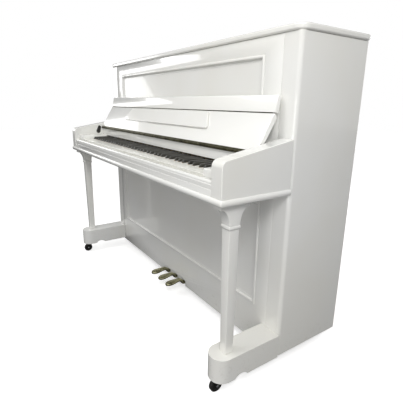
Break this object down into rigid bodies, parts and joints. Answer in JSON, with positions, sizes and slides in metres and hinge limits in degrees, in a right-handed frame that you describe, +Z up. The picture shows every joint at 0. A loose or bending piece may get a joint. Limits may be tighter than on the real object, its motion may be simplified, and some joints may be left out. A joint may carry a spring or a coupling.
{
  "type": "upright piano",
  "caption": "Upright piano in white lacquer, with front legs on toe blocks, an open folding fallboard, keyboard, brass pedals and casters.",
  "frame": {"origin": "on the floor under the middle of the piano", "axes": "+Z up, +X towards the treble side, -Y towards the player"},
  "size_m": [1.4932, 0.6001, 1.1573],
  "materials": {
    "white_lacquer": "high-gloss white polyester lacquer on wood",
    "key_tops": "white acrylic tops on spruce key sticks, satin gloss",
    "sharps": "dark satin sharps, stained nearly black",
    "bare_wood": "planed bare softwood",
    "soundboard_spruce": "varnished straight-grained spruce",
    "aged_brass": "aged, half-polished brass",
    "gold_iron": "gold bronze paint over sand-cast iron",
    "black_metal": "black painted steel",
    "caster_rubber": "hard black caster wheel",
    "felt": "pressed wool felt on wood"
  },
  "bodies": {
    "case": {"side_left": "white_lacquer", "side_right": "white_lacquer", "upper_panel": "white_lacquer", "lower_panel": "white_lacquer", "bottom_board": "bare_wood", "keybed": "white_lacquer", "keybed_moulding": "white_lacquer", "arm_left": "white_lacquer", "arm_right": "white_lacquer", "key_slip": "white_lacquer", "key_block_left": "white_lacquer", "key_block_right": "white_lacquer", "nameboard": "white_lacquer", "fallboard_hinge": "aged_brass", "key_frame": "bare_wood", "leg_left": "white_lacquer", "leg_right": "white_lacquer", "toe_left": "white_lacquer", "toe_right": "white_lacquer", "back_frame": "bare_wood", "soundboard": "soundboard_spruce", "iron_plate": "gold_iron", "pin_block": "bare_wood", "action_frame": "black_metal"},
    "lid": {"top_lid": "white_lacquer"},
    "fall": {"fallboard": "white_lacquer"},
    "lip": {"fallboard_lip": "white_lacquer"},
    "desk": {"music_desk": "white_lacquer"},
    "left_pedal": {"pedal_left": "aged_brass"},
    "middle_pedal": {"pedal_middle": "aged_brass"},
    "right_pedal": {"pedal_right": "aged_brass"},
    "left_rod": {"pedal_rod_left": "bare_wood"},
    "middle_rod": {"pedal_rod_middle": "bare_wood"},
    "right_rod": {"pedal_rod_right": "bare_wood"},
    "rest_rail": {"hammer_rest_rail": "felt"},
    "hammers": {"hammer_set": "felt"},
    "dampers": {"damper_set": "felt"},
    "muffler": {"muffler_rail": "felt"},
    "bass_keys": {"keys_bass": "key_tops"},
    "key_c4": {"key_c4": "key_tops"},
    "key_c4_sharp": {"key_c4_sharp": "sharps"},
    "key_d4": {"key_d4": "key_tops"},
    "key_d4_sharp": {"key_d4_sharp": "sharps"},
    "key_e4": {"key_e4": "key_tops"},
    "key_f4": {"key_f4": "key_tops"},
    "key_f4_sharp": {"key_f4_sharp": "sharps"},
    "key_g4": {"key_g4": "key_tops"},
    "key_g4_sharp": {"key_g4_sharp": "sharps"},
    "key_a4": {"key_a4": "key_tops"},
    "key_a4_sharp": {"key_a4_sharp": "sharps"},
    "key_b4": {"key_b4": "key_tops"},
    "treble_keys": {"keys_treble": "key_tops"},
    "front_left_fork": {"caster_fork_front_left": "black_metal"},
    "front_left_wheel": {"caster_wheel_front_left": "caster_rubber"},
    "rear_left_fork": {"caster_fork_rear_left": "black_metal"},
    "rear_left_wheel": {"caster_wheel_rear_left": "caster_rubber"},
    "front_right_fork": {"caster_fork_front_right": "black_metal"},
    "front_right_wheel": {"caster_wheel_front_right": "caster_rubber"},
    "rear_right_fork": {"caster_fork_rear_right": "black_metal"},
    "rear_right_wheel": {"caster_wheel_rear_right": "caster_rubber"}
  },
  "joints": [
    {"name": "lid_hinge", "type": "hinge", "parent": "case", "child": "lid", "pos_m": [0, 0.3, 1.1373], "axis": [-1, 0, 0], "range_deg": [0, 95]},
    {"name": "fall_hinge", "type": "hinge", "parent": "case", "child": "fall", "pos_m": [0, -0.13, 0.787], "axis": [1, 0, 0], "range_deg": [0, 125.5]},
    {"name": "lip_hinge", "type": "hinge", "parent": "fall", "child": "lip", "pos_m": [0, -0.056, 0.90819], "axis": [1, 0, 0], "range_deg": [0, 65]},
    {"name": "desk_hinge", "type": "hinge", "parent": "fall", "child": "desk", "pos_m": [0, -0.09717, 0.84077], "axis": [-1, 0, 0], "range_deg": [-88, 0]},
    {"name": "left_pedal_hinge", "type": "hinge", "parent": "case", "child": "left_pedal", "pos_m": [-0.056, 0.057, 0.061], "axis": [1, 0, 0], "range_deg": [0, 5], "stiffness_Nm_per_rad": 8, "springref_deg": -6.88},
    {"name": "left_rod_lift", "type": "slide", "parent": "case", "child": "left_rod", "axis": [0, 0, 1], "range_m": [0, 0.0087]},
    {"name": "middle_pedal_hinge", "type": "hinge", "parent": "case", "child": "middle_pedal", "pos_m": [0.019, 0.057, 0.061], "axis": [1, 0, 0], "range_deg": [0, 5], "stiffness_Nm_per_rad": 8, "springref_deg": -6.88},
    {"name": "middle_rod_lift", "type": "slide", "parent": "case", "child": "middle_rod", "axis": [0, 0, 1], "range_m": [0, 0.0087]},
    {"name": "right_pedal_hinge", "type": "hinge", "parent": "case", "child": "right_pedal", "pos_m": [0.094, 0.057, 0.061], "axis": [1, 0, 0], "range_deg": [0, 5], "stiffness_Nm_per_rad": 8, "springref_deg": -6.88},
    {"name": "right_rod_lift", "type": "slide", "parent": "case", "child": "right_rod", "axis": [0, 0, 1], "range_m": [0, 0.0087]},
    {"name": "rest_rail_swing", "type": "hinge", "parent": "case", "child": "rest_rail", "pos_m": [0, 0.1147, 0.86], "axis": [-1, 0, 0], "range_deg": [0, 9]},
    {"name": "hammer_swing", "type": "hinge", "parent": "case", "child": "hammers", "pos_m": [0, 0.1147, 0.86], "axis": [-1, 0, 0], "range_deg": [0, 9]},
    {"name": "damper_lift", "type": "hinge", "parent": "case", "child": "dampers", "pos_m": [0, 0.1667, 0.88], "axis": [1, 0, 0], "range_deg": [0, 7]},
    {"name": "muffler_drop", "type": "slide", "parent": "case", "child": "muffler", "axis": [0, 0, -1], "range_m": [0, 0.015]},
    {"name": "bass_keys_dip", "type": "hinge", "parent": "case", "child": "bass_keys", "pos_m": [-0.34075, -0.03907, 0.709], "axis": [1, 0, 0], "range_deg": [0, 2.5], "stiffness_Nm_per_rad": 78, "springref_deg": -2.86},
    {"name": "key_c4_dip", "type": "hinge", "parent": "case", "child": "key_c4", "pos_m": [-0.05875, -0.03907, 0.709], "axis": [1, 0, 0], "range_deg": [0, 2.5], "stiffness_Nm_per_rad": 2, "springref_deg": -2.86},
    {"name": "key_c4_sharp_dip", "type": "hinge", "parent": "case", "child": "key_c4_sharp", "pos_m": [-0.05, -0.03907, 0.709], "axis": [1, 0, 0], "range_deg": [0, 2.5], "stiffness_Nm_per_rad": 2, "springref_deg": -2.86},
    {"name": "key_d4_dip", "type": "hinge", "parent": "case", "child": "key_d4", "pos_m": [-0.03525, -0.03907, 0.709], "axis": [1, 0, 0], "range_deg": [0, 2.5], "stiffness_Nm_per_rad": 2, "springref_deg": -2.86},
    {"name": "key_d4_sharp_dip", "type": "hinge", "parent": "case", "child": "key_d4_sharp", "pos_m": [-0.0205, -0.03907, 0.709], "axis": [1, 0, 0], "range_deg": [0, 2.5], "stiffness_Nm_per_rad": 2, "springref_deg": -2.86},
    {"name": "key_e4_dip", "type": "hinge", "parent": "case", "child": "key_e4", "pos_m": [-0.01175, -0.03907, 0.709], "axis": [1, 0, 0], "range_deg": [0, 2.5], "stiffness_Nm_per_rad": 2, "springref_deg": -2.86},
    {"name": "key_f4_dip", "type": "hinge", "parent": "case", "child": "key_f4", "pos_m": [0.01175, -0.03907, 0.709], "axis": [1, 0, 0], "range_deg": [0, 2.5], "stiffness_Nm_per_rad": 2, "springref_deg": -2.86},
    {"name": "key_f4_sharp_dip", "type": "hinge", "parent": "case", "child": "key_f4_sharp", "pos_m": [0.0195, -0.03907, 0.709], "axis": [1, 0, 0], "range_deg": [0, 2.5], "stiffness_Nm_per_rad": 2, "springref_deg": -2.86},
    {"name": "key_g4_dip", "type": "hinge", "parent": "case", "child": "key_g4", "pos_m": [0.03525, -0.03907, 0.709], "axis": [1, 0, 0], "range_deg": [0, 2.5], "stiffness_Nm_per_rad": 2, "springref_deg": -2.86},
    {"name": "key_g4_sharp_dip", "type": "hinge", "parent": "case", "child": "key_g4_sharp", "pos_m": [0.047, -0.03907, 0.709], "axis": [1, 0, 0], "range_deg": [0, 2.5], "stiffness_Nm_per_rad": 2, "springref_deg": -2.86},
    {"name": "key_a4_dip", "type": "hinge", "parent": "case", "child": "key_a4", "pos_m": [0.05875, -0.03907, 0.709], "axis": [1, 0, 0], "range_deg": [0, 2.5], "stiffness_Nm_per_rad": 2, "springref_deg": -2.86},
    {"name": "key_a4_sharp_dip", "type": "hinge", "parent": "case", "child": "key_a4_sharp", "pos_m": [0.0745, -0.03907, 0.709], "axis": [1, 0, 0], "range_deg": [0, 2.5], "stiffness_Nm_per_rad": 2, "springref_deg": -2.86},
    {"name": "key_b4_dip", "type": "hinge", "parent": "case", "child": "key_b4", "pos_m": [0.08225, -0.03907, 0.709], "axis": [1, 0, 0], "range_deg": [0, 2.5], "stiffness_Nm_per_rad": 2, "springref_deg": -2.86},
    {"name": "treble_keys_dip", "type": "hinge", "parent": "case", "child": "treble_keys", "pos_m": [0.3525, -0.03907, 0.709], "axis": [1, 0, 0], "range_deg": [0, 2.5], "stiffness_Nm_per_rad": 74, "springref_deg": -2.86},
    {"name": "front_left_swivel", "type": "hinge", "parent": "case", "child": "front_left_fork", "pos_m": [-0.6956, -0.251, 0.0557], "axis": [0, 0, 1], "continuous": true},
    {"name": "front_left_roll", "type": "hinge", "parent": "front_left_fork", "child": "front_left_wheel", "pos_m": [-0.6956, -0.263, 0.024], "axis": [1, 0, 0], "continuous": true},
    {"name": "rear_left_swivel", "type": "hinge", "parent": "case", "child": "rear_left_fork", "pos_m": [-0.6743, 0.26, 0.0557], "axis": [0, 0, 1], "continuous": true},
    {"name": "rear_left_roll", "type": "hinge", "parent": "rear_left_fork", "child": "rear_left_wheel", "pos_m": [-0.6743, 0.272, 0.024], "axis": [1, 0, 0], "continuous": true},
    {"name": "front_right_swivel", "type": "hinge", "parent": "case", "child": "front_right_fork", "pos_m": [0.6956, -0.251, 0.0557], "axis": [0, 0, 1], "continuous": true},
    {"name": "front_right_roll", "type": "hinge", "parent": "front_right_fork", "child": "front_right_wheel", "pos_m": [0.6956, -0.263, 0.024], "axis": [1, 0, 0], "continuous": true},
    {"name": "rear_right_swivel", "type": "hinge", "parent": "case", "child": "rear_right_fork", "pos_m": [0.6743, 0.26, 0.0557], "axis": [0, 0, 1], "continuous": true},
    {"name": "rear_right_roll", "type": "hinge", "parent": "rear_right_fork", "child": "rear_right_wheel", "pos_m": [0.6743, 0.272, 0.024], "axis": [1, 0, 0], "continuous": true}
  ],
  "couplings": [
    {"joint": "left_rod_lift", "follows": "left_pedal_hinge", "m_per_rad": 0.0987},
    {"joint": "middle_rod_lift", "follows": "middle_pedal_hinge", "m_per_rad": 0.0987},
    {"joint": "right_rod_lift", "follows": "right_pedal_hinge", "m_per_rad": 0.0987},
    {"joint": "rest_rail_swing", "follows": "left_pedal_hinge", "ratio": 1.8},
    {"joint": "hammer_swing", "follows": "left_pedal_hinge", "ratio": 1.8},
    {"joint": "damper_lift", "follows": "right_pedal_hinge", "ratio": 1.4},
    {"joint": "muffler_drop", "follows": "middle_pedal_hinge", "m_per_rad": 0.17}
  ]
}
